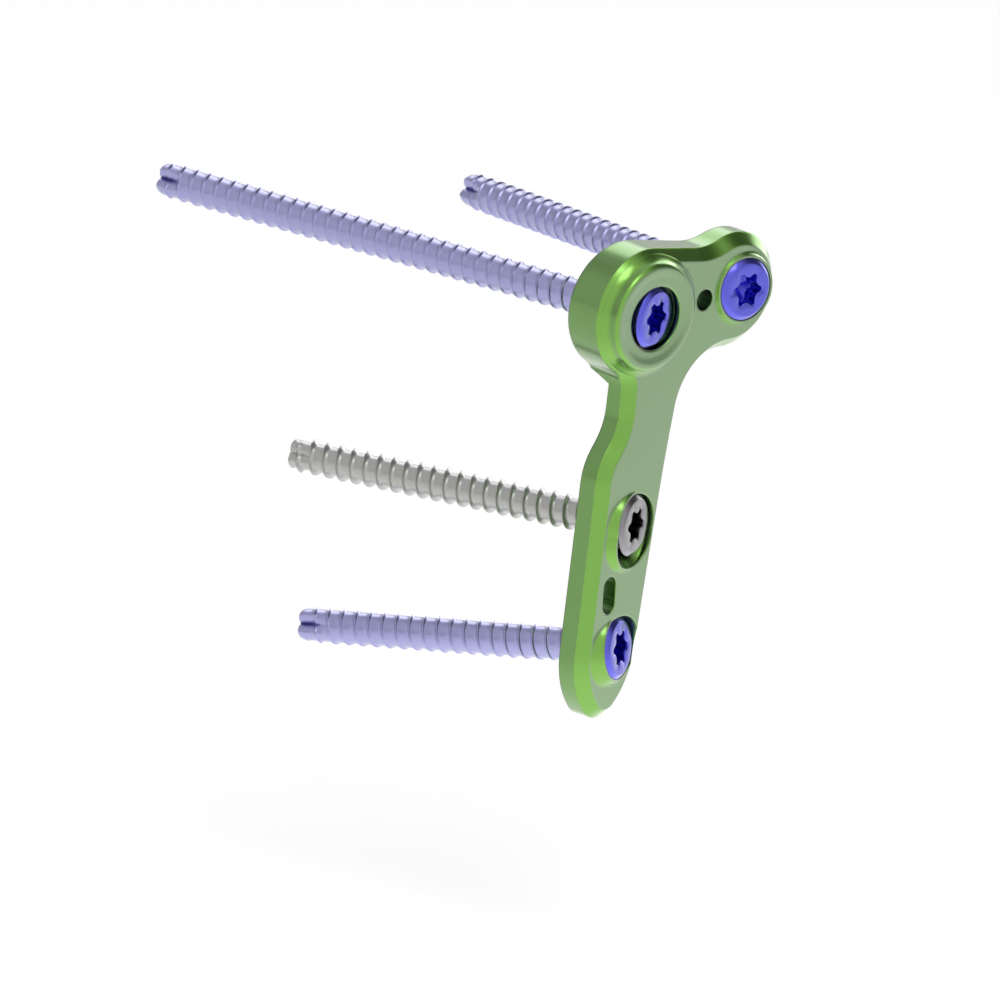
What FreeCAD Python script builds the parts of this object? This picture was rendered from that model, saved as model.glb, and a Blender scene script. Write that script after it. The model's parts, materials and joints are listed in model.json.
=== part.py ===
import FreeCAD, Part
import math
import os
import re
import Sketcher
from FreeCAD import Placement, Rotation, Vector

# Bone plate for the upper shin bone with its four screws.
#
# Frame, in millimetres: the origin lies on the bone side of the plate's shaft, where the axis of the
# distal screw leaves it. +Z runs up the shaft to the head, -Y points away from the bone and +X to the
# right as a viewer sees the outer face. The outer face of the shaft is flat, and the head turns out of
# it by a small twist, to follow the bone. Each screw is described in its own frame: its origin is the
# centre of the flat top of the head, and its shaft runs down -Z.

SIZES = {
    # plate in general
    "shaft_thickness": 3.8,
    "rim_chamfer": 1.4,
    # outline of the shaft
    "shaft_left": 5.92,
    "shaft_right": 5.82,
    "shaft_flare": 3.7,
    "end_radius": 11.0,
    "end_height": 0.2,
    "tip_radius": 3.5,
    # outline of the neck
    "waist_left": 2.47,
    "waist_drop": 12.5,
    "waist_radius": 7.0,
    "shoulder_angle": 36.0,
    "shoulder_radius": 7.0,
    "notch_radius": 3.0,
    "crook_radius": 7.2,
    # outline of the head
    "front_lobe_x": -0.2,
    "front_lobe_height": 43.9,
    "front_lobe_radius": 8.4,
    "lobe_distance": 15.35,
    "rear_lobe_lift": 1.45,
    "rear_lobe_radius": 7.5,
    "brow_angle": 5.6,
    "saddle_radius": 8.0,
    # twist and thickness of the head
    "head_twist": 7.0,
    "twist_axis_x": 2.5,
    "twist_end_drop": 5.9,
    "twist_length": 14.0,
    "head_bone_angle": 12.5,
    "head_bone_depth": 2.1,
    "head_step_drop": 9.4,
    "head_step_ramp": 0.5,
    # boss round the front hole
    "boss_height": 1.05,
    "boss_radius": 6.95,
    "boss_flare": 0.25,
    "boss_crown": 1.1,
    "boss_dish_slope": 0.55,
    "boss_lip": 0.5,
    "boss_lip_ease": 0.3,
    "boss_dish": 0.25,
    # front hole
    "front_bore": 4.15,
    "front_bore_depth": 0.9,
    # raised collars round the other holes, and the oblong hole
    "collar_radius": 4.35,
    "collar_depth": 0.4,
    "collar_height": 1.7,
    "collar_angle": 30.0,
    "slide_travel": 1.6,
    "slide_x": 0.15,
    "slide_height": 15.75,
    # holes for wires
    "wire_hole_radius": 1.375,
    "wire_hole_shift": 9.46,
    "wire_hole_lift": 1.03,
    "wire_slot_width": 2.5,
    "wire_slot_length": 4.9,
    "wire_slot_x": -2.1,
    "wire_slot_height": 7.78,
    "wire_slot_turn": 6.0,
    # screws in general
    "screw_radius": 2.25,
    "deep_thread_radius": 1.9,
    "head_radius": 4.0,
    "head_flat": 3.4,
    "head_bevel": 0.42,
    "head_cone": 2.3,
    "neck_radius": 2.35,
    "neck_run": 0.3,
    "shank_step": 0.2,
    "shank_run": 1.1,
    "drive_radius": 2.25,
    "drive_root": 1.62,
    "drive_lobe": 0.42,
    "drive_depth": 2.0,
    "tip_length": 1.4,
    "tip_flat": 1.35,
    "flute_length": 4.2,
    "flute_core": 0.75,
    "flute_offset": 0.2,
    "seat_clearance": 0.05,
    "shaft_clearance": 0.3,
    # front screw
    "front_screw_shift": 0.2,
    "front_screw_lift": -0.15,
    "front_screw_proud": 0.05,
    "front_screw_turn": 4.8,
    "front_screw_rise": 0.0,
    "front_screw_length": 74.0,
    # rear screw
    "rear_screw_shift": 0.26,
    "rear_screw_lift": 0.52,
    "rear_screw_proud": 1.2,
    "rear_screw_turn": -12.4,
    "rear_screw_rise": 2.4,
    "rear_screw_length": 54.3,
    # middle screw
    "middle_screw_shift": 1.0,
    "middle_screw_lift": 0.81,
    "middle_screw_proud": 0.45,
    "middle_screw_turn": 12.0,
    "middle_screw_rise": 1.5,
    "middle_screw_length": 47.7,
    # distal screw, whose axis passes through the origin
    "distal_screw_proud": 0.45,
    "distal_screw_turn": 14.3,
    "distal_screw_rise": 8.2,
    "distal_screw_length": 43.3,
}

document = FreeCAD.newDocument("bone_plate")
sheet = document.addObject("Spreadsheet::Sheet", "sizes")
for row, (alias, value) in enumerate(SIZES.items(), start=1):
    sheet.set(f"A{row}", alias)
    sheet.set(f"B{row}", str(value))
    sheet.setAlias(f"B{row}", alias)
document.recompute()


def size(text):
    """Value of an expression in the sheet's names, such as 'head_radius + seat_clearance'."""
    return float(sheet.evalExpression(text))


def bound(text):
    """The same expression as another object writes it."""
    return re.sub("[a-z_]+", lambda found: "sizes." + found.group() if found.group() in SIZES
                  else found.group(), text)


def bind(item, field, text):
    item.setExpression(field, bound(text))


# expressions for what follows the front lobe, the oblong hole or the sizes of several pieces
REAR_X = "(front_lobe_x + lobe_distance)"
REAR_HEIGHT = "(front_lobe_height + rear_lobe_lift)"
WAIST_HEIGHT = "(front_lobe_height - waist_drop)"
STEP_HEIGHT = "(front_lobe_height - head_step_drop)"
WIRE_HOLE_X = "(front_lobe_x + wire_hole_shift)"
WIRE_HOLE_HEIGHT = "(front_lobe_height + wire_hole_lift)"
HOLE_RADIUS = "(screw_radius + shaft_clearance)"
HEAD_DEPTH = "(head_cone + head_bevel)"
BONE_SLOPE = "tan(head_bone_angle * 1 deg)"
FACE_SLOPE = "tan(head_twist * 1 deg)"

# how far from a curve a point may lie and still be on it, half the width of what cuts the plate to
# shape, and how far cutters run past its faces
TOUCH = 0.001
REACH = "40"
BEYOND = "12"


def new_body(label):
    body = document.addObject("PartDesign::Body", label)
    body.Label = label
    return body


def new_sketch(body, name, role):
    """Sketch on the plane of the body's own origin that has the given role."""
    sketch = body.newObject("Sketcher::SketchObject", name)
    plane = [item for item in body.Origin.OriginFeatures if item.Role == role][0]
    sketch.AttachmentSupport = [(plane, "")]
    sketch.MapMode = "FlatFace"
    return sketch


def hold(sketch, kind, curve, end, text):
    """Holds one coordinate of a sketch point at an expression."""
    index = sketch.addConstraint(Sketcher.Constraint(kind, -1, 1, curve, end, size(text)))
    bind(sketch, f"Constraints[{index}]", text)


def fix_point(sketch, curve, end, across, up):
    """Holds a sketch point at two expressions."""
    for kind, axis, text in (("DistanceX", -2, across), ("DistanceY", -1, up)):
        if text == "0":
            sketch.addConstraint(Sketcher.Constraint("PointOnObject", curve, end, axis))
        else:
            hold(sketch, kind, curve, end, text)


def fix_value(sketch, kind, curve, text):
    """Holds a radius or an angle at an expression."""
    value = math.radians(size(text)) if kind == "Angle" else size(text)
    index = sketch.addConstraint(Sketcher.Constraint(kind, curve, value))
    bind(sketch, f"Constraints[{index}]", f"({text}) * 1 deg" if kind == "Angle" else text)


def polygon(sketch, corners):
    """Closed run of straight lines through corners, each a pair of expressions."""
    points = [Vector(size(across), size(up), 0) for across, up in corners]
    for start, end in zip(points, points[1:] + points[:1]):
        sketch.addGeometry(Part.LineSegment(start, end))
    for index in range(len(points)):
        sketch.addConstraint(Sketcher.Constraint("Coincident", index, 2, (index + 1) % len(points), 1))
    for index, (across, up) in enumerate(corners):
        fix_point(sketch, index, 1, across, up)


def arc_between(centre, radius, start, end):
    """Arc that runs anticlockwise about its centre from start to end."""
    first = math.atan2(start.y - centre.y, start.x - centre.x)
    last = math.atan2(end.y - centre.y, end.x - centre.x)
    if last <= first:
        last += 2 * math.pi
    circle = Part.Circle(centre, Vector(0, 0, 1), radius)
    return Part.ArcOfCircle(circle, first, last)


def meet(first, first_radius, second, second_radius, upper):
    """Upper or lower of the two points at the given distances from two centres."""
    span = second.sub(first)
    along = (first_radius ** 2 - second_radius ** 2 + span.Length ** 2) / (2 * span.Length)
    aside = math.sqrt(first_radius ** 2 - along ** 2)
    direction = Vector(span).normalize()
    normal = Vector(-direction.y, direction.x, 0)
    if (normal.y > 0) != upper:
        normal = -normal
    return first + direction * along + normal * aside


def toward(start, target, distance):
    """Point at a distance from start on the way to target."""
    return start + (target - start).normalize() * distance


def draw_outline(sketch, lean):
    """Outline of the plate: shaft with a bullet end, waisted neck and two round lobes that an
    expression shifts sideways."""
    front_x = f"front_lobe_x + {lean}"
    rear_x = f"{REAR_X} + {lean}"
    front = Vector(size(front_x), size("front_lobe_height"), 0)
    rear = Vector(size(rear_x), size(REAR_HEIGHT), 0)
    front_radius = size("front_lobe_radius")
    rear_radius = size("rear_lobe_radius")
    flare = math.radians(size("shaft_flare"))
    up_right = Vector(math.sin(flare), math.cos(flare), 0)
    out_right = Vector(math.cos(flare), -math.sin(flare), 0)
    foot_right = Vector(size("shaft_right"), 0, 0)

    crook_radius = size("crook_radius")
    base = foot_right + out_right * crook_radius
    offset = rear - base
    along = offset.dot(up_right)
    aside = offset.dot(out_right)
    reach = math.sqrt((rear_radius + crook_radius) ** 2 - aside ** 2)
    crook = base + up_right * (along - reach)
    crook_foot = crook - out_right * crook_radius
    crook_top = toward(crook, rear, crook_radius)

    brow = math.radians(size("brow_angle"))
    brow_up = Vector(math.sin(brow), math.cos(brow), 0)
    brow_right = Vector(math.cos(brow), -math.sin(brow), 0)
    brow_start = front + brow_up * front_radius
    saddle_radius = size("saddle_radius")
    lift = saddle_radius - (rear - brow_start).dot(brow_up)
    run = math.sqrt((rear_radius + saddle_radius) ** 2 - lift ** 2)
    saddle = rear + brow_up * lift - brow_right * run
    saddle_right = toward(saddle, rear, saddle_radius)
    saddle_left = saddle - brow_up * saddle_radius

    waist_x = -size("waist_left")
    notch_radius = size("notch_radius")
    notch_x = waist_x - notch_radius
    notch_drop = math.sqrt((front_radius + notch_radius) ** 2 - (front.x - notch_x) ** 2)
    notch = Vector(notch_x, front.y - notch_drop, 0)
    notch_top = toward(notch, front, notch_radius)
    notch_foot = Vector(waist_x, notch.y, 0)

    waist_radius = size("waist_radius")
    shoulder_radius = size("shoulder_radius")
    left_x = -size("shaft_left")
    slant = math.radians(size("shoulder_angle"))
    level = Vector(math.cos(slant), -math.sin(slant), 0)
    waist = Vector(waist_x - waist_radius, size(WAIST_HEIGHT), 0)
    waist_top = Vector(waist_x, waist.y, 0)
    waist_foot = waist + level * waist_radius
    shoulder_x = left_x + shoulder_radius
    shoulder_top_x = shoulder_x - level.x * shoulder_radius
    drop = (waist_foot.x - shoulder_top_x) / math.tan(slant)
    shoulder_top = Vector(shoulder_top_x, waist_foot.y - drop, 0)
    shoulder = shoulder_top + level * shoulder_radius
    shoulder_foot = Vector(left_x, shoulder.y, 0)

    end_radius = size("end_radius")
    end_height = size("end_height")
    tip_radius = size("tip_radius")
    end_left = Vector(left_x + end_radius, end_height, 0)
    end_left_top = Vector(left_x, end_height, 0)
    rise = (end_height + end_radius * out_right.y) / up_right.y
    end_right_top = foot_right + up_right * rise
    end_right = end_right_top - out_right * end_radius
    tip = meet(end_left, end_radius - tip_radius, end_right, end_radius - tip_radius, False)
    tip_left = toward(end_left, tip, end_radius)
    tip_right = toward(end_right, tip, end_radius)

    right, bend, back, dip, level_top, fore, notched, hollow = range(8)
    inward, sloped, outward, left, heel_left, heel, heel_right = range(8, 15)
    sketch.addGeometry(Part.LineSegment(end_right_top, crook_foot))
    sketch.addGeometry(arc_between(crook, crook_radius, crook_top, crook_foot))
    sketch.addGeometry(arc_between(rear, rear_radius, crook_top, saddle_right))
    sketch.addGeometry(arc_between(saddle, saddle_radius, saddle_left, saddle_right))
    sketch.addGeometry(Part.LineSegment(saddle_left, brow_start))
    sketch.addGeometry(arc_between(front, front_radius, brow_start, notch_top))
    sketch.addGeometry(arc_between(notch, notch_radius, notch_foot, notch_top))
    sketch.addGeometry(Part.LineSegment(notch_foot, waist_top))
    sketch.addGeometry(arc_between(waist, waist_radius, waist_foot, waist_top))
    sketch.addGeometry(Part.LineSegment(waist_foot, shoulder_top))
    sketch.addGeometry(arc_between(shoulder, shoulder_radius, shoulder_top, shoulder_foot))
    sketch.addGeometry(Part.LineSegment(shoulder_foot, end_left_top))
    sketch.addGeometry(arc_between(end_left, end_radius, end_left_top, tip_left))
    sketch.addGeometry(arc_between(tip, tip_radius, tip_left, tip_right))
    sketch.addGeometry(arc_between(end_right, end_radius, tip_right, end_right_top))

    # each piece of the outline leaves at its end, but a hollow arc is drawn against the run
    hollow_arcs = (bend, dip, notched, inward)
    for index in range(heel_right + 1):
        following = (index + 1) % (heel_right + 1)
        leaves = 1 if index in hollow_arcs else 2
        enters = 2 if following in hollow_arcs else 1
        sketch.addConstraint(Sketcher.Constraint("Tangent", index, leaves, following, enters))
    fix_value(sketch, "Radius", bend, "crook_radius")
    fix_value(sketch, "Radius", back, "rear_lobe_radius")
    fix_value(sketch, "Radius", dip, "saddle_radius")
    fix_value(sketch, "Radius", fore, "front_lobe_radius")
    fix_value(sketch, "Radius", notched, "notch_radius")
    fix_value(sketch, "Radius", inward, "waist_radius")
    fix_value(sketch, "Radius", outward, "shoulder_radius")
    fix_value(sketch, "Radius", heel_left, "end_radius")
    fix_value(sketch, "Radius", heel, "tip_radius")
    fix_value(sketch, "Radius", heel_right, "end_radius")
    fix_point(sketch, back, 3, rear_x, REAR_HEIGHT)
    fix_point(sketch, fore, 3, front_x, "front_lobe_height")

    # straight sides and the heights of the arcs between them
    hold(sketch, "DistanceX", left, 1, "-shaft_left")
    hold(sketch, "DistanceX", hollow, 1, "-waist_left")
    sketch.addConstraint(Sketcher.Constraint("Vertical", left))
    sketch.addConstraint(Sketcher.Constraint("Vertical", hollow))
    fix_value(sketch, "Angle", sloped, "-90 - shoulder_angle")
    fix_value(sketch, "Angle", right, "90 - shaft_flare")
    fix_value(sketch, "Angle", level_top, "180 - brow_angle")
    hold(sketch, "DistanceY", inward, 3, WAIST_HEIGHT)
    hold(sketch, "DistanceY", heel_left, 3, "end_height")
    hold(sketch, "DistanceY", heel_right, 3, "end_height")
    foot = sketch.addGeometry(Part.Point(foot_right), True)
    fix_point(sketch, foot, 1, "shaft_right", "0")
    sketch.addConstraint(Sketcher.Constraint("PointOnObject", foot, 1, right))
    return sketch


def feature(body, kind, name, profile):
    item = body.newObject("PartDesign::" + kind, name)
    item.Profile = profile
    profile.Visibility = False
    return item


def through_pocket(body, name, profile):
    """Pocket that runs right through the body both ways."""
    pocket = feature(body, "Pocket", name, profile)
    pocket.Type = 1
    pocket.Midplane = True
    return pocket


def face_at(x):
    """Expression for the outer face of the head at an x."""
    return f"(-shaft_thickness - {FACE_SLOPE} * ({x} - twist_axis_x))"


def thick_outline():
    """Outline of the plate as a thick slab, cut to its bone side. The shaft's walls stand square to
    the shaft, and those of the lobes square to the head's outer face."""
    body = new_body("plate_blank")
    sections = []
    for name, depth in (("outer", f"-{BEYOND}"), ("bone", BEYOND)):
        section = new_sketch(body, name + "_outline", "XZ_Plane")
        section.AttachmentOffset = Placement(Vector(0, 0, 1), Rotation())
        bind(section, "AttachmentOffset.Base.z", f"-({depth})")
        draw_outline(section, f"{FACE_SLOPE} * ({depth} + shaft_thickness)")
        sections.append(section)
    document.recompute()
    slab = feature(body, "AdditiveLoft", "thick_plate", sections[0])
    slab.Sections = [sections[1]]
    slab.Ruled = True
    document.recompute()

    relief = new_sketch(body, "shaft_bone_side", "YZ_Plane")
    polygon(relief, [("0", "-" + REACH), (REACH, "-" + REACH),
                     (REACH, f"{STEP_HEIGHT} + {REACH} * head_step_ramp"), ("0", STEP_HEIGHT)])
    through_pocket(body, "shaft_relief", relief)

    bone = new_sketch(body, "head_bone_side", "XY_Plane")
    polygon(bone, [("-" + REACH, f"head_bone_depth + {REACH} * {BONE_SLOPE}"),
                   (REACH, f"head_bone_depth - {REACH} * {BONE_SLOPE}"),
                   (REACH, REACH), ("-" + REACH, REACH)])
    through_pocket(body, "head_relief", bone)
    return body


def outer_side():
    """Everything on the bone side of the outer face: flat along the shaft and again over the head,
    with an even turn between the two."""
    high = size("front_lobe_height - twist_end_drop")
    low = high - size("twist_length")
    reach = size(REACH)
    even = reach / 4
    # heights of the poles, each with the share of the head's twist that it has
    stations = [(low - 2 * reach, 0), (low - reach, 0), (low - even, 0), (low, 0),
                (high, 1), (high + even, 1), (high + 2 * even, 1), (high + reach, 1)]
    poles = []
    for x in (-reach, reach):
        lever = x - size("twist_axis_x")
        poles.append([Vector(x, -size("shaft_thickness")
                             - math.tan(math.radians(size("head_twist")) * share) * lever, z)
                      for z, share in stations])
    skin = Part.BSplineSurface()
    skin.buildFromPolesMultsKnots(poles, [2, 2], [4, 1, 1, 1, 1, 4], [0, 1], [0, 1, 2, 3, 4, 5],
                                  False, False, 1, 3)
    item = document.addObject("Part::Feature", "outer_side")
    item.Shape = skin.toShape().extrude(Vector(0, reach, 0))
    return item


def faced_plate():
    """Slab cut to its outer face, whose whole rim is chamfered."""
    blank = thick_outline()
    outer = outer_side()
    faced = document.addObject("Part::Common", "faced_plate")
    faced.Base = blank
    faced.Tool = outer
    document.recompute()
    rim = []
    for number, edge in enumerate(faced.Shape.Edges, start=1):
        middle = edge.valueAt((edge.FirstParameter + edge.LastParameter) / 2)
        if min(face.distToShape(Part.Vertex(middle))[0] for face in outer.Shape.Faces) < TOUCH:
            rim.append(number)
    chamfered = document.addObject("Part::Chamfer", "rim")
    chamfered.Base = faced
    chamfered.Edges = [(number, size("rim_chamfer"), size("rim_chamfer")) for number in rim]
    document.recompute()
    return chamfered


def place(item, x, y, z, turn, roll):
    """Puts an object at a point given by expressions, its own +Z turned towards the viewer."""
    item.Placement = Placement(Vector(), Rotation(10, 0, 80))
    for axis, text in (("x", x), ("y", y), ("z", z)):
        bind(item, f"Placement.Base.{axis}", text)
    bind(item, "Placement.Rotation.Yaw", f"({turn}) * 1 deg")
    bind(item, "Placement.Rotation.Pitch", "0 * 1 deg")
    bind(item, "Placement.Rotation.Roll", f"({roll}) * 1 deg")


def place_square(item, x, z, lift):
    """Puts an object square on the head's outer face, lifted by an expression."""
    place(item, f"{x} - sin(head_twist * 1 deg) * ({lift})",
          f"{face_at(x)} - cos(head_twist * 1 deg) * ({lift})", z, "-head_twist", "90")


def cylinder(name, radius, height):
    item = document.addObject("Part::Cylinder", name)
    bind(item, "Radius", radius)
    bind(item, "Height", height)
    return item


def turned_body(label, corners):
    """Body turned about its own Z axis from a profile of radii and heights."""
    body = new_body(label)
    profile = new_sketch(body, label + "_profile", "XZ_Plane")
    polygon(profile, corners)
    document.recompute()
    turned = feature(body, "Revolution", label + "_turned", profile)
    turned.ReferenceAxis = (profile, ["V_Axis"])
    turned.Angle = 360
    document.recompute()
    return body


def boss():
    """Raised ring round the front hole, with its lip eased in two steps and a slightly sunk top."""
    body = turned_body("front_boss", [
        ("0", "-boss_height"), ("boss_radius + boss_flare", "-boss_height"),
        ("boss_radius", "boss_height - boss_lip"),
        ("boss_radius - boss_lip * boss_lip_ease", "boss_height - boss_lip * boss_lip_ease"),
        ("boss_radius - boss_lip", "boss_height"), ("boss_radius - boss_crown", "boss_height"),
        ("boss_radius - boss_crown - boss_dish_slope", "boss_height - boss_dish"),
        ("0", "boss_height - boss_dish")])
    place_square(body, "front_lobe_x", "front_lobe_height", "0")
    return body


SCREWS = ("front", "rear", "middle", "distal")


def head_place(screw):
    """Expressions for the centre of the head's flat top."""
    if screw == "distal":
        turn = "distal_screw_turn * 1 deg"
        rise = "distal_screw_rise * 1 deg"
        run = "(shaft_thickness + distal_screw_proud)"
        return f"tan({turn}) * {run}", f"-{run}", f"tan({rise}) / cos({turn}) * {run}"
    if screw == "middle":
        return ("(slide_x + middle_screw_shift)", "-(shaft_thickness + middle_screw_proud)",
                "(slide_height + middle_screw_lift)")
    if screw == "rear":
        x = f"({REAR_X} + rear_screw_shift)"
        height = f"({REAR_HEIGHT} + rear_screw_lift)"
        lift = "rear_screw_proud"
    else:
        x = "(front_lobe_x + front_screw_shift)"
        height = "(front_lobe_height + front_screw_lift)"
        lift = "(boss_height - boss_dish + front_screw_proud)"
    return x, f"({face_at(x)} - cos(head_twist * 1 deg) * {lift})", height


def exit_depth(screw):
    """Expression for the distance along a screw's axis from the top of its head to the bone side."""
    x, y, _ = head_place(screw)
    turn = f"{screw}_screw_turn * 1 deg"
    rise = f"{screw}_screw_rise * 1 deg"
    if screw in ("middle", "distal"):
        return f"-{y} / (cos({turn}) * cos({rise}))"
    run = f"(cos({turn}) - {BONE_SLOPE} * sin({turn})) * cos({rise})"
    return f"(head_bone_depth - {BONE_SLOPE} * {x} - {y}) / ({run})"


def place_screw(item, screw, drop="0"):
    """Puts an object in a screw's own frame, lowered along the shaft by an expression."""
    x, y, z = head_place(screw)
    place(item, x, y, f"{z} - {drop}", f"{screw}_screw_turn", f"90 - {screw}_screw_rise")


def head_profile(grow):
    """Radii and heights of a screw's head down to its neck, grown by a clearance."""
    return [(f"head_radius + {grow}", f"-head_bevel - {grow}"), (f"neck_radius + {grow}", "-" + HEAD_DEPTH)]


def collar(screw, drop="0"):
    """Raised rim of a hole, square to its tilted screw, so that it stands out most where the head
    does."""
    low = "-(collar_depth + collar_height)"
    frustum = turned_body(screw + "_collar", [
        ("0", "-collar_depth"), ("collar_radius", "-collar_depth"),
        ("collar_radius + collar_height * tan(collar_angle * 1 deg)", low), ("0", low)])
    place_screw(frustum, screw, drop)
    return frustum


def seat(screw, drop="0"):
    """Room for a screw: its head, all that lies above it, and its shaft."""
    top = [("0", BEYOND), ("head_radius + seat_clearance", BEYOND)]
    bore = [(HOLE_RADIUS, f"-{HEAD_DEPTH} - shaft_clearance"), (HOLE_RADIUS, f"-2 * {BEYOND}"),
            ("0", f"-2 * {BEYOND}")]
    body = turned_body(screw + "_seat", top + head_profile("seat_clearance") + bore)
    place_screw(body, screw, drop)
    return body


def star(sketch):
    """Six-lobed star of the drive recess, from twelve arcs that run smoothly into each other."""
    outer = size("drive_radius")
    root = size("drive_root")
    lobe = size("drive_lobe")
    far = outer - lobe
    turn = math.cos(math.pi / 6)
    # a hollow arc at the distance root + hollow touches the lobes on both sides of it
    hollow = (far ** 2 + root ** 2 - 2 * far * root * turn - lobe ** 2) / (2 * (lobe - root + far * turn))
    near = root + hollow
    for index in range(6):
        angle = index * math.pi / 3
        middle = Vector(far * math.cos(angle), far * math.sin(angle), 0)
        before = Vector(near * math.cos(angle - math.pi / 6), near * math.sin(angle - math.pi / 6), 0)
        after = Vector(near * math.cos(angle + math.pi / 6), near * math.sin(angle + math.pi / 6), 0)
        following = Vector(far * math.cos(angle + math.pi / 3), far * math.sin(angle + math.pi / 3), 0)
        start = toward(middle, before, lobe)
        end = toward(middle, after, lobe)
        entry = toward(following, after, lobe)
        sketch.addGeometry(arc_between(middle, lobe, start, end))
        sketch.addGeometry(arc_between(after, hollow, entry, end))
    for index in range(6):
        lobed = 2 * index
        dented = lobed + 1
        sketch.addConstraint(Sketcher.Constraint("Tangent", lobed, 2, dented, 2))
        sketch.addConstraint(Sketcher.Constraint("Tangent", dented, 1, (lobed + 2) % 12, 1))


def screw(name):
    """Screw with a star recess, a slim shank as far as the plate reaches, a shaft that stands for
    the threaded one and a tip with three cutting flutes."""
    label = name + "_screw"
    length = f"{name}_screw_length"
    radius = "deep_thread_radius" if name == "middle" else "screw_radius"
    shank = f"{exit_depth(name)} + shank_run"
    shaft = [(radius + " - shank_step", f"-{HEAD_DEPTH} - neck_run"), (radius + " - shank_step", f"-({shank})"),
             (radius, f"-({shank} + shank_step)"), (radius, f"-{length} + tip_length"),
             ("tip_flat", "-" + length), ("0", "-" + length)]
    body = turned_body(label, [("0", "0"), ("head_flat", "0")] + head_profile("0") + shaft)
    recess = new_sketch(body, label + "_star", "XY_Plane")
    star(recess)
    document.recompute()
    drive = feature(body, "Pocket", label + "_drive", recess)
    bind(drive, "Length", "drive_depth")
    document.recompute()

    notch = new_sketch(body, label + "_notch", "XY_Plane")
    wide = "2 * screw_radius"
    polygon(notch, [("flute_core", "flute_offset"), (wide, "flute_offset"), (wide, wide), ("flute_core", wide)])
    notch.AttachmentOffset = Placement(Vector(0, 0, 1), Rotation())
    bind(notch, "AttachmentOffset.Base.z", f"-{length} + flute_length")
    document.recompute()
    flute = feature(body, "Pocket", label + "_flute", notch)
    bind(flute, "Length", "2 * flute_length")
    document.recompute()
    flutes = body.newObject("PartDesign::PolarPattern", label + "_flutes")
    flutes.Originals = [flute]
    flutes.Axis = (notch, ["N_Axis"])
    flutes.Angle = 360
    flutes.Occurrences = 3
    body.Tip = flutes
    document.recompute()
    place_screw(body, name)
    return body


def wire_slot():
    """Small slot through the shaft beside the distal hole, as a cutter."""
    bar = document.addObject("Part::Box", "wire_slot_bar")
    bind(bar, "Length", "wire_slot_width")
    bind(bar, "Width", f"2 * {BEYOND}")
    bind(bar, "Height", "wire_slot_length - wire_slot_width")
    bar.Placement = Placement(Vector(), Rotation(Vector(0, 1, 0), 1))
    turn = "wire_slot_turn * 1 deg"
    half = "(wire_slot_length - wire_slot_width) / 2"
    half_width = "wire_slot_width / 2"
    bind(bar, "Placement.Base.x", f"wire_slot_x + sin({turn}) * {half} - cos({turn}) * {half_width}")
    bind(bar, "Placement.Base.y", f"-{BEYOND}")
    bind(bar, "Placement.Base.z", f"wire_slot_height - cos({turn}) * {half} - sin({turn}) * {half_width}")
    bind(bar, "Placement.Rotation.Angle", f"-{turn}")
    ends = []
    for name, side in (("low", "-"), ("high", "+")):
        end = cylinder("wire_slot_" + name, "wire_slot_width / 2", f"2 * {BEYOND}")
        opposite = "+" if side == "-" else "-"
        place(end, f"wire_slot_x {opposite} sin({turn}) * {half}", BEYOND,
              f"wire_slot_height {side} cos({turn}) * {half}", "0", "90")
        ends.append(end)
    return [bar] + ends


def hole_cutters():
    """Everything that is taken out of the plate for its screws and wires."""
    bore = cylinder("front_counterbore", "front_bore", BEYOND)
    front_x, _, front_height = head_place("front")
    place_square(bore, front_x, front_height, "boss_height - boss_dish - front_bore_depth")
    wire = cylinder("wire_hole", "wire_hole_radius", f"2 * {BEYOND}")
    place_square(wire, WIRE_HOLE_X, WIRE_HOLE_HEIGHT, "-" + BEYOND)
    seats = [seat(name) for name in SCREWS] + [seat("middle", "slide_travel")]
    return [bore, wire] + wire_slot() + seats


def plate():
    """The finished plate."""
    shape = faced_plate()
    collars = [collar("rear"), collar("middle"), collar("middle", "slide_travel"), collar("distal")]
    steps = [("Part::Fuse", item) for item in [boss()] + collars]
    steps += [("Part::Cut", item) for item in hole_cutters()]
    for kind, tool in steps:
        step = document.addObject(kind, "plate_and_" + tool.Name)
        step.Base = shape
        step.Tool = tool
        document.recompute()
        shape = step
    shape.Label = "plate"
    return shape


pieces = [plate()] + [screw(name) for name in SCREWS]
document.recompute()

for item in document.Objects:
    if "Invalid" in item.State or "Error" in item.State:
        raise RuntimeError(f"{item.Label} did not build: {item.State}")
os.makedirs("parts", exist_ok=True)
for piece in pieces:
    shape = piece.Shape
    if shape.isNull() or not shape.isValid() or shape.Volume <= 0:
        raise RuntimeError(f"{piece.Label} has no valid solid")
    print(piece.Label, len(shape.Solids), round(shape.Volume, 1), len(shape.Faces))
    shape.exportStep(f"parts/{piece.Label}.step")
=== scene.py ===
import json
import math
from collections import namedtuple

import bmesh
import bpy
from mathutils import Matrix, Vector
from mathutils.bvhtree import BVHTree

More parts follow.
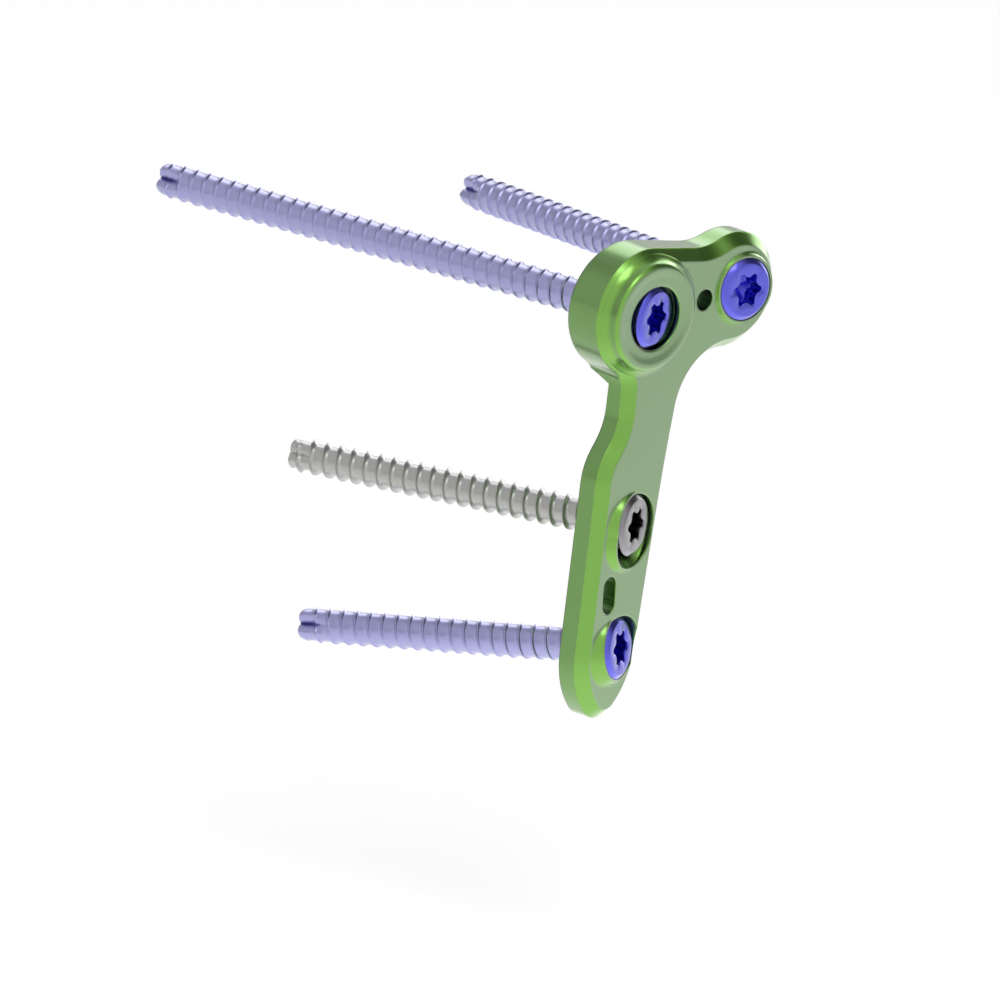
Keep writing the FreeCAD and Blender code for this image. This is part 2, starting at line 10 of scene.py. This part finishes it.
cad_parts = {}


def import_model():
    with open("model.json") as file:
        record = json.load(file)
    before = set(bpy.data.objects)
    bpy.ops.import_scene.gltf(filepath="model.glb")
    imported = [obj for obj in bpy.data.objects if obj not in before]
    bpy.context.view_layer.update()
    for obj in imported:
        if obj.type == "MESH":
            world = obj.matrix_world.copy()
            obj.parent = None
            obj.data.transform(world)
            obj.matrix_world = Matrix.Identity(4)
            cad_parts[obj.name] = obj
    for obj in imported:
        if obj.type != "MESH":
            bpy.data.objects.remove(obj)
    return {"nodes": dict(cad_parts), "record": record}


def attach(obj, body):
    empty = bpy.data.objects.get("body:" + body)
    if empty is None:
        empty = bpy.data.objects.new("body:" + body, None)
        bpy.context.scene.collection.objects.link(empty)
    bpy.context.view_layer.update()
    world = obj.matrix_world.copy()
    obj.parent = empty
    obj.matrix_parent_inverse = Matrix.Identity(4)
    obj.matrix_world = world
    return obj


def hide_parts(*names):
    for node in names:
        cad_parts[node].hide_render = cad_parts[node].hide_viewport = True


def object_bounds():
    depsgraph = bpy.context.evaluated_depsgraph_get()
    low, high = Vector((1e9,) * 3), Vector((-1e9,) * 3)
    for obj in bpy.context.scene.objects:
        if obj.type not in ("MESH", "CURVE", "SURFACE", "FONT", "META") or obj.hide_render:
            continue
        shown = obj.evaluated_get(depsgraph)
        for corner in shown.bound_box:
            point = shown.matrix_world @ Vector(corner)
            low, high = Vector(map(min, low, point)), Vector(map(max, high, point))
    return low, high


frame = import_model()
cad_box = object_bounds()

MM = 0.001
WHITE = (1.0, 1.0, 1.0, 1.0)

# columns of faces round a screw or the boss
COLUMNS = 96

# screws, in millimetres
PITCH = 1.86
CREST_RADIUS = 2.24
THREAD_STOP = PITCH / 3
HEAD_FLAT = 3.4
HEAD_RADIUS = 3.99
HEAD_BEVEL = 0.42
HEAD_CONE = 2.3
NECK_RADIUS = 2.3
NECK_RUN = 0.3
EDGE = 0.07
DRIVE_RADIUS = 2.25
DRIVE_ROOT = 1.62
DRIVE_LOBE = 0.42
DRIVE_DEPTH = 1.95
DRIVE_STRAIGHT = 0.5
DRIVE_DRAFT = 0.12
DRIVE_EDGE = 0.1
DRIVE_POINT = 0.5
TIP_LENGTH = 0.7
TIP_RADIUS = 1.75
TIP_STEP = 0.15
TIP_BEVEL = 0.25
FLUTE_LENGTH = 4.6
FLUTE_RUN = FLUTE_LENGTH / 1.4
FLUTE_PHASE = math.radians(45)
FLUTE_SPREAD = math.radians(34)
MERGE_DISTANCE = 1e-4
SPECK = 1e-5
SHARP_ANGLE = math.radians(40)

# places of a screw's materials in its list
HEAD, SHAFT = 0, 1

# how a kind of screw is cut: radius of its core, profile of its thread, share of its radius that the
# flutes take, and how far the thread takes to reach full height. The profile goes once down the pitch,
# by share of the pitch and share of the thread's height.
Cut = namedtuple("Cut", "core profile flute fade")
BROAD = Cut(core=2.0, flute=0.62, fade=9.0,
            profile=((0.0, 0.0), (0.3, 0.0), (0.6, 0.0), (0.74, 0.08), (0.8, 0.55), (0.84, 1.0),
                     (0.89, 1.0), (0.94, 0.35)))
DEEP = Cut(core=1.75, flute=0.34, fade=2.4,
           profile=((0.0, 0.0), (0.25, 0.0), (0.5, 0.0), (0.64, 0.06), (0.76, 0.5), (0.84, 1.0),
                    (0.89, 1.0), (0.95, 0.4)))

# smooth skin of the boss round the front screw, in millimetres: the middle of its foot on the plate's
# face, the turn of that face, how far to the side and up its mouth is from there, the radii and
# heights over the middle that its mouth and lip pass through, the radii and heights over the plate of
# its hollow foot, and how far out the plate's face is looked for from
BOSS_MIDDLE = (-0.2, -3.47, 43.9)
BOSS_TURN = math.radians(7)
MOUTH_SHIFT = (0.2, -0.15)
BOSS_MOUTH = ((4.2, 0.3), (4.18, 0.6), (4.19, 0.76), (4.23, 0.83), (4.32, 0.86), (4.6, 0.88))
BOSS_LIP = ((5.0, 0.9), (5.4, 0.95), (5.7, 1.04), (6.0, 1.12), (6.25, 1.15), (6.45, 1.14), (6.62, 1.08),
            (6.78, 0.98), (6.91, 0.84), (7.0, 0.67), (7.06, 0.5))
BOSS_FOOT = ((7.14, 0.34), (7.25, 0.22), (7.4, 0.13), (7.6, 0.06), (7.8, 0.02), (7.98, -0.03), (7.9, -0.4))
PROBE_HEIGHT = 5.0

# metal: how fine its clouds and its grain are, what share of a darker tint the clouds bring in, how far
# the grain changes the roughness either way, and how strong and how high, in millimetres, its relief is
CLOUD_SCALE = 140.0
CLOUD_DETAIL = 3.0
CLOUD_SHARE = 0.25
CLOUD_TINT = 0.8
GRAIN_SCALE = 5200.0
GRAIN_DETAIL = 2.0
GRAIN_GLOSS = 0.05
GRAIN_RELIEF = 0.06
GRAIN_HEIGHT = 0.02
COAT_IOR = 1.7
COAT_ROUGHNESS = 0.18

# where the plate's colour changes from its walls' painted shade to its slopes' colour and from there to its
# outer face's painted reflection, as the cosine of the angle between a surface and the way out from the bone
OUTWARD = (0.0, -1.0, 0.0)
WALL_TO_SLOPE = (0.1, 0.5)
SLOPE_TO_FACE = (0.76, 0.96)

# painted shade in holes and creases: how far away, in millimetres, what shuts them in may be, and how
# open they are where the painted shade is darkest and where it no longer differs from the rest
PAINTED_SHADE_REACH = 3.0
PAINTED_SHADE_OPENNESS = (0.36, 0.8)

# floor, in metres: how far below the part it is, half its side, the place of its glow from above, how far
# out the glow is strongest and weakest, its strength there, and its strength to the camera
FLOOR_DROP = 0.03
FLOOR_HALF = 1.5
FLOOR_COLOUR = (0.8, 0.8, 0.8, 1.0)
FLOOR_ROUGHNESS = 0.9
GLOW_MIDDLE = (0.02, -0.02)
GLOW_REACH = (0.03, 0.14)
GLOW_STRENGTH = (0.6, 0.3)
GLOW_SEEN = 0.35

# how bright the room is, and by how much patches of it in some directions are brighter or darker: the
# direction, the cosines at which the patch starts and is full, and what it adds
ROOM_LIGHT = 0.52
ROOM_PATCHES = (((0.80, 0.59, 0.12), 0.8, 0.97, 0.1),
                ((-0.55, -0.78, 0.3), 0.4, 0.95, 0.4),
                ((0.76, -0.25, 0.60), 0.75, 0.95, -0.4),
                ((0.56, 0.52, 0.62), 0.93, 0.975, 1.5),
                ((0.0, 0.15, 0.99), 0.75, 0.97, 0.25),
                ((-0.67, 0.57, 0.39), 0.8, 0.97, 0.3),
                ((0.97, 0.10, 0.10), 0.9, 0.98, 1.6),
                ((0.78, 0.25, 0.45), 0.95, 0.99, 1.3))

# lamp: its direction from the part, its distance and side in metres, and its power in watts
KEY_TOWARDS = (-0.35, -0.6, 1.0)
KEY_DISTANCE = 0.5
KEY_SIZE = 0.2
KEY_POWER = 0.3

# camera: its axes in the part's frame, and in metres the photograph's width, the place of its middle
# along the first two axes, and how far back the camera stands
CAMERA_RIGHT = Vector((0.60892, -0.78445, 0.11772))
CAMERA_UP = Vector((0.13620, 0.24959, 0.95873))
CAMERA_BACK = Vector((-0.78145, -0.56776, 0.25882))
PHOTO_WIDTH = 0.125
MIDDLE_RIGHT = -0.011044
MIDDLE_UP = 0.018188
CAMERA_DISTANCE = 0.6
CAMERA_REACH = 10.0


def new_object(name, data):
    item = bpy.data.objects.new(name, data)
    bpy.context.scene.collection.objects.link(item)
    return item


def axes_matrix(origin, right, up, out):
    """Matrix of a frame with this origin and these axes."""
    return Matrix.Translation(origin) @ Matrix((right, up, out)).transposed().to_4x4()


def outward_matrix(origin, out):
    """Matrix of a frame in millimetres, with its origin at a point and +Z along a direction."""
    side = Vector((0.0, 0.0, 1.0)).cross(out).normalized()
    return axes_matrix(origin, side, out.cross(side), out) @ Matrix.Scale(MM, 4)


def star_radius(angle):
    """Distance from the axis to the wall of the six-lobed drive, at an angle."""
    far = DRIVE_RADIUS - DRIVE_LOBE
    sixth = math.pi / 6
    hollow = ((far ** 2 + DRIVE_ROOT ** 2 - 2 * far * DRIVE_ROOT * math.cos(sixth) - DRIVE_LOBE ** 2)
              / (2 * (DRIVE_LOBE - DRIVE_ROOT + far * math.cos(sixth))))
    near = DRIVE_ROOT + hollow
    lobe = Vector((far, 0.0))
    dent = Vector((near * math.cos(sixth), near * math.sin(sixth)))
    touch = lobe + (dent - lobe).normalized() * DRIVE_LOBE
    off = abs((angle + sixth) % (2 * sixth) - sixth)
    if off <= math.atan2(touch.y, touch.x):
        return far * math.cos(off) + math.sqrt(DRIVE_LOBE ** 2 - (far * math.sin(off)) ** 2)
    off = sixth - off
    return near * math.cos(off) - math.sqrt(hollow ** 2 - (near * math.sin(off)) ** 2)


def smooth_step(value):
    value = min(max(value, 0.0), 1.0)
    return value * value * (3 - 2 * value)


def fluted(radius, angle, above_tip, share):
    """Radius after the three cutting flutes, V-shaped across, have been taken out near the tip."""
    third = 2 * math.pi / 3
    turn = abs((angle - FLUTE_PHASE + third / 2) % third - third / 2)
    across = max(1 - turn / FLUTE_SPREAD, 0.0)
    along = smooth_step((FLUTE_LENGTH - above_tip) / FLUTE_RUN)
    return radius * (1 - share * across * along)


def angles():
    return [2 * math.pi * column / COLUMNS for column in range(COLUMNS)]


def round_ring(mesh, radius, height):
    """Ring of vertices, its radius a number or a function of the angle."""
    ring = []
    for angle in angles():
        distance = radius(angle) if callable(radius) else radius
        ring.append(mesh.verts.new((distance * math.cos(angle), distance * math.sin(angle), height)))
    return ring


def add_face(mesh, corners, place):
    mesh.faces.new(corners).material_index = place


def join_rings(mesh, upper, lower, place=0):
    for column in range(COLUMNS):
        after = (column + 1) % COLUMNS
        add_face(mesh, (upper[column], upper[after], lower[after], lower[column]), place)


def close_ring(mesh, ring, height, upward, place):
    """Cone from a ring to a point on the axis."""
    centre = mesh.verts.new((0.0, 0.0, height))
    for column in range(COLUMNS):
        pair = (ring[column], ring[(column + 1) % COLUMNS])
        add_face(mesh, (centre, *(pair if upward else reversed(pair))), place)


def head_rings(mesh, neck):
    """Rings from the floor of the drive recess over the head down to the top of the shaft. Rings a
    part of EDGE apart round its edges off."""
    floor = round_ring(mesh, lambda angle: star_radius(angle) - DRIVE_DRAFT, -DRIVE_DEPTH)
    close_ring(mesh, floor, -DRIVE_DEPTH - DRIVE_POINT, True, HEAD)
    under = HEAD_BEVEL + HEAD_CONE
    rings = [
        floor,
        round_ring(mesh, star_radius, -DRIVE_EDGE - DRIVE_STRAIGHT),
        round_ring(mesh, star_radius, -DRIVE_EDGE),
        round_ring(mesh, lambda angle: star_radius(angle) + DRIVE_EDGE * 0.3, -DRIVE_EDGE * 0.3),
        round_ring(mesh, lambda angle: star_radius(angle) + DRIVE_EDGE, 0.0),
        round_ring(mesh, HEAD_FLAT - EDGE, 0.0),
        round_ring(mesh, HEAD_FLAT, -EDGE * 0.25),
        round_ring(mesh, HEAD_FLAT + EDGE, -EDGE),
        round_ring(mesh, HEAD_RADIUS - EDGE * 0.6, -HEAD_BEVEL + EDGE * 0.6),
        round_ring(mesh, HEAD_RADIUS, -HEAD_BEVEL - EDGE * 0.3),
        round_ring(mesh, HEAD_RADIUS - EDGE, -HEAD_BEVEL - EDGE * 2),
        round_ring(mesh, NECK_RADIUS, -under),
        round_ring(mesh, neck, -under - NECK_RUN)]
    for upper, lower in zip(rings, rings[1:]):
        join_rings(mesh, upper, lower, HEAD)
    return rings[-1], -under - NECK_RUN


def thread_rows(mesh, start, top, tip, cut):
    """Helical thread from a ring at the top down to just above the tip. Rows of faces follow the
    helix, and stop at both ends."""
    bottom = tip + TIP_LENGTH
    count = len(cut.profile)
    turns = math.ceil((top - bottom) / PITCH)
    rows = []
    for row in range((turns + 1) * count + 1):
        share, rise = cut.profile[row % count]
        drop = PITCH * (row // count + share)
        ring = []
        for angle in angles():
            height = min(max(top - drop + PITCH * angle / (2 * math.pi), bottom), top)
            fade = smooth_step((top - height) / cut.fade) * smooth_step((height - bottom) / THREAD_STOP)
            radius = cut.core + (CREST_RADIUS - cut.core) * rise * fade
            radius = fluted(radius, angle, height - tip, cut.flute)
            ring.append(mesh.verts.new((radius * math.cos(angle), radius * math.sin(angle), height)))
        rows.append(ring)
    for row, (upper, lower) in enumerate(zip(rows, rows[1:])):
        for column in range(COLUMNS - 1):
            corners = (upper[column], upper[column + 1], lower[column + 1], lower[column])
            add_face(mesh, corners, SHAFT)
        # the seam joins each row's end to the start of the row one turn above it
        before = rows[max(row - count, 0)][0]
        after = rows[max(row + 1 - count, 0)][0]
        starts = (before, after) if after is not before else (before, )
        add_face(mesh, (upper[-1], *starts, lower[-1]), SHAFT)
    join_rings(mesh, start, rows[0], SHAFT)
    return rows[-1]


def new_piece(name, mesh, matrix, materials):
    """Smooth object in the scene from a mesh in millimetres."""
    bmesh.ops.recalc_face_normals(mesh, faces=mesh.faces)
    mesh.transform(matrix)
    data = bpy.data.meshes.new(name)
    mesh.to_mesh(data)
    mesh.free()
    data.shade_smooth()
    for material in materials:
        data.materials.append(material)
    return new_object(name, data)


def screw_place(name):
    """Matrix of a screw's own frame, with its origin at the centre of the head's top and +Z out of
    the plate, and the screw's length in millimetres."""
    mount = next(item for item in frame["record"]["mounts"] if item["name"] == name + "_shaft")
    point = Vector(mount["pos_m"])
    out = -Vector(mount["axis"]).normalized()
    along = [(vertex.co - point).dot(out) for vertex in frame["nodes"][name + "_screw"].data.vertices]
    return outward_matrix(point + out * max(along), out), (max(along) - min(along)) / MM


def screw(name, cut, materials):
    """Threaded screw that takes the place of a plain one."""
    matrix, length = screw_place(name)
    mesh = bmesh.new()
    neck, top = head_rings(mesh, cut.core)
    tip = -length
    last = thread_rows(mesh, neck, top, tip, cut)
    shoulder = round_ring(mesh, lambda angle: fluted(TIP_RADIUS + TIP_STEP, angle, TIP_BEVEL, cut.flute),
                          tip + TIP_BEVEL)
    point = round_ring(mesh, lambda angle: fluted(TIP_RADIUS, angle, 0.0, cut.flute), tip)
    join_rings(mesh, last, shoulder, SHAFT)
    join_rings(mesh, shoulder, point, SHAFT)
    close_ring(mesh, point, tip + TIP_BEVEL, False, SHAFT)
    bmesh.ops.remove_doubles(mesh, verts=mesh.verts, dist=MERGE_DISTANCE)
    bmesh.ops.dissolve_degenerate(mesh, edges=mesh.edges, dist=SPECK)
    piece = new_piece(name + "_threaded_screw", mesh, matrix, materials)
    piece.data.set_sharp_from_angle(angle=SHARP_ANGLE)
    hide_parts(name + "_screw")
    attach(piece, "root")


def boss_skin(material):
    """Skin with a rounded lip and a hollow foot over the plate's boss. Its foot follows the plate's
    face all round."""
    plate = frame["nodes"]["plate"].data
    surface = BVHTree.FromPolygons([vertex.co for vertex in plate.vertices],
                                   [list(face.vertices) for face in plate.polygons])
    out = Vector((-math.sin(BOSS_TURN), -math.cos(BOSS_TURN), 0.0))
    matrix = outward_matrix(Vector(BOSS_MIDDLE) * MM, out)
    mesh = bmesh.new()
    rings = [round_ring(mesh, radius, height) for radius, height in BOSS_MOUTH]
    bmesh.ops.translate(mesh, vec=(*MOUTH_SHIFT, 0.0), verts=mesh.verts)
    rings += [round_ring(mesh, radius, height) for radius, height in BOSS_LIP]
    for radius, height in BOSS_FOOT:
        ring = round_ring(mesh, radius, height)
        for vertex in ring:
            probe = matrix @ Vector((vertex.co.x, vertex.co.y, PROBE_HEIGHT))
            spot = surface.ray_cast(probe, -out)[0]
            vertex.co.z += (matrix.inverted() @ spot).z
        rings.append(ring)
    for upper, lower in zip(rings, rings[1:] + rings[:1]):
        join_rings(mesh, upper, lower)
    piece = new_piece("boss_skin", mesh, matrix, [material])
    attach(piece, "root")


def node_adder(tree):
    """Function that adds a node to a tree and sets or links its inputs."""
    def add(kind, inputs=(), **settings):
        node = tree.nodes.new(kind)
        for field, value in settings.items():
            setattr(node, field, value)
        for socket, source in inputs:
            if isinstance(source, bpy.types.NodeSocket):
                tree.links.new(source, node.inputs[socket])
            else:
                node.inputs[socket].default_value = source
        return node

    return add


def new_material(name):
    """Material with its tree, its shader and the function that adds nodes to it."""
    material = bpy.data.materials.new(name)
    material.use_nodes = True
    tree = material.node_tree
    return material, tree, tree.nodes["Principled BSDF"], node_adder(tree)


def blend(add, factor, first, second):
    """Colour between two others, by a factor from 0 to 1."""
    first, second = (source if isinstance(source, bpy.types.NodeSocket) else (*source, 1.0)
                     for source in (first, second))
    mix = add("ShaderNodeMix", (("Factor", factor), ("A", first), ("B", second)), data_type="RGBA")
    return mix.outputs["Result"]


def ramp(add, value, start, full, low=0.0, high=1.0):
    """Number that goes smoothly from low to high while a value goes from start to full."""
    node = add("ShaderNodeMapRange", (("Value", value), ("From Min", start), ("From Max", full),
                                      ("To Min", low), ("To Max", high)), interpolation_type="SMOOTHSTEP")
    return node.outputs["Result"]


def metal(name, colour, painted_shade_colour, roughness, shaded_wall_colour=None, sheen_face_colour=None, edge=0.1):
    """Anodised or bare metal with cloudy colour, uneven gloss and a fine grain. Painted shade darkens it
    in holes and creases, and its edges look rounded by a radius in millimetres. The colours of walls,
    slopes and the outer face may differ: the walls' colour is painted shade and the outer face's
    greyer colour is a painted reflection."""
    material, tree, shader, add = new_material(name)
    place = add("ShaderNodeTexCoord").outputs["Object"]
    cloud = add("ShaderNodeTexNoise", (("Vector", place), ("Scale", CLOUD_SCALE), ("Detail", CLOUD_DETAIL)))
    grain = add("ShaderNodeTexNoise", (("Vector", place), ("Scale", GRAIN_SCALE), ("Detail", GRAIN_DETAIL)))
    soft = add("ShaderNodeMapRange", (("Value", cloud.outputs["Fac"]), ("To Min", 0.0),
                                      ("To Max", CLOUD_SHARE)))
    tint = blend(add, soft.outputs["Result"], colour, tuple(CLOUD_TINT * part for part in colour))
    # painted shade on the walls and a painted reflection on the outer face, chosen by which way the surface
    # faces
    if sheen_face_colour:
        normal = add("ShaderNodeNewGeometry").outputs["Normal"]
        outward = add("ShaderNodeVectorMath", ((0, normal), (1, OUTWARD)), operation="DOT_PRODUCT")
        tint = blend(add, ramp(add, outward.outputs["Value"], *WALL_TO_SLOPE), shaded_wall_colour, tint)
        tint = blend(add, ramp(add, outward.outputs["Value"], *SLOPE_TO_FACE), tint, sheen_face_colour)
    # painted shade: ambient occlusion blends in the second colour where holes and creases shut the surface
    # in
    hollow = add("ShaderNodeAmbientOcclusion", (("Distance", PAINTED_SHADE_REACH * MM), ), samples=16)
    tint = blend(add, ramp(add, hollow.outputs["AO"], *PAINTED_SHADE_OPENNESS), painted_shade_colour, tint)
    tree.links.new(tint, shader.inputs["Base Color"])
    gloss = add("ShaderNodeMapRange", (("Value", grain.outputs["Fac"]), ("To Min", roughness - GRAIN_GLOSS),
                                       ("To Max", roughness + GRAIN_GLOSS)))
    tree.links.new(gloss.outputs["Result"], shader.inputs["Roughness"])
    rounded = add("ShaderNodeBevel", (("Radius", edge * MM), ), samples=8)
    relief = add("ShaderNodeBump", (("Height", grain.outputs["Fac"]), ("Strength", GRAIN_RELIEF),
                                    ("Distance", GRAIN_HEIGHT * MM), ("Normal", rounded.outputs["Normal"])))
    tree.links.new(relief.outputs["Normal"], shader.inputs["Normal"])
    shader.inputs["Metallic"].default_value = 1.0
    shader.inputs["Coat Weight"].default_value = 1.0
    shader.inputs["Coat IOR"].default_value = COAT_IOR
    shader.inputs["Coat Roughness"].default_value = COAT_ROUGHNESS
    return material


def paint(node, material):
    data = frame["nodes"][node].data
    data.materials.clear()
    data.materials.append(material)


def floor():
    """Pale floor well below the part, which to the part glows most right under it."""
    low = cad_box[0][2] - FLOOR_DROP
    data = bpy.data.meshes.new("floor")
    corners = [(across * FLOOR_HALF, along * FLOOR_HALF, low)
               for across, along in ((-1, -1), (1, -1), (1, 1), (-1, 1))]
    data.from_pydata(corners, [], [(0, 1, 2, 3)])
    ground = new_object("floor", data)
    material, tree, shader, add = new_material("pale_floor")
    shader.inputs["Base Color"].default_value = FLOOR_COLOUR
    shader.inputs["Roughness"].default_value = FLOOR_ROUGHNESS
    shader.inputs["Specular IOR Level"].default_value = 0.0
    shader.inputs["Emission Color"].default_value = WHITE
    spot = add("ShaderNodeVectorMath", ((0, add("ShaderNodeNewGeometry").outputs["Position"]),
                                        (1, (*GLOW_MIDDLE, low))), operation="DISTANCE")
    glow = add("ShaderNodeMix", (("Factor", add("ShaderNodeLightPath").outputs["Is Camera Ray"]),
                                 ("A", ramp(add, spot.outputs["Value"], *GLOW_REACH, *GLOW_STRENGTH)),
                                 ("B", GLOW_SEEN)))
    tree.links.new(glow.outputs["Result"], shader.inputs["Emission Strength"])
    data.materials.append(material)


def key_light():
    """Square lamp that shines at the middle of the part."""
    light = bpy.data.lights.new("key", "AREA")
    light.shape = "SQUARE"
    light.size = KEY_SIZE
    light.energy = KEY_POWER
    lamp = new_object("key", light)
    towards = Vector(KEY_TOWARDS).normalized()
    lamp.location = (Vector(cad_box[0]) + Vector(cad_box[1])) / 2 + towards * KEY_DISTANCE
    lamp.rotation_euler = towards.to_track_quat("Z", "Y").to_euler()


def world():
    """Room that is plain white to the camera, and to the part has lighter and darker patches."""
    dome = bpy.data.worlds.new("studio")
    bpy.context.scene.world = dome
    dome.use_nodes = True
    add = node_adder(dome.node_tree)
    direction = add("ShaderNodeTexCoord").outputs["Generated"]
    light = ROOM_LIGHT
    for towards, start, full, gain in ROOM_PATCHES:
        near = add("ShaderNodeVectorMath", ((0, direction), (1, Vector(towards).normalized())),
                   operation="DOT_PRODUCT")
        patch = ramp(add, near.outputs["Value"], start, full, 0.0, gain)
        light = add("ShaderNodeMath", ((0, patch), (1, light)), operation="ADD").outputs["Value"]
    choice = add("ShaderNodeMix", (("Factor", add("ShaderNodeLightPath").outputs["Is Camera Ray"]),
                                   ("A", light), ("B", 1.0)))
    background = dome.node_tree.nodes["Background"]
    background.inputs["Color"].default_value = WHITE
    dome.node_tree.links.new(choice.outputs["Result"], background.inputs["Strength"])


def camera():
    """Camera at the photograph's angle, without perspective."""
    data = bpy.data.cameras.new("camera")
    data.type = "ORTHO"
    data.ortho_scale = PHOTO_WIDTH
    data.clip_end = CAMERA_REACH
    view = new_object("camera", data)
    spot = CAMERA_RIGHT * MIDDLE_RIGHT + CAMERA_UP * MIDDLE_UP + CAMERA_BACK * CAMERA_DISTANCE
    view.matrix_world = axes_matrix(spot, CAMERA_RIGHT, CAMERA_UP, CAMERA_BACK)
    bpy.context.scene.camera = view


bpy.context.scene.view_settings.view_transform = "Standard"
camera()
floor()
world()
key_light()

# painted shade: each metal's second colour is the painted shade in its holes and creases
# the plate's wall colour is painted shade and its face colour is a painted reflection
green = metal("green_anodised", colour=(0.155, 0.4, 0.025), painted_shade_colour=(0.005, 0.05, 0.0), roughness=0.25,
              shaded_wall_colour=(0.11, 0.265, 0.04), sheen_face_colour=(0.21, 0.34, 0.16), edge=0.5)
blue = [metal("blue_anodised", colour=(0.07, 0.07, 0.68), painted_shade_colour=(0.01, 0.01, 0.55), roughness=0.22),
        metal("blue_shaft", colour=(0.33, 0.33, 0.62), painted_shade_colour=(0.14, 0.14, 0.4), roughness=0.36)]
grey = [metal("bare_titanium", colour=(0.23, 0.22, 0.24), painted_shade_colour=(0.005, 0.005, 0.005), roughness=0.24),
        metal("bare_shaft", colour=(0.42, 0.42, 0.4), painted_shade_colour=(0.14, 0.14, 0.13), roughness=0.4)]

paint("plate", green)
boss_skin(green)
for name in ("front", "rear", "distal"):
    screw(name, BROAD, blue)
screw("middle", DEEP, grey)
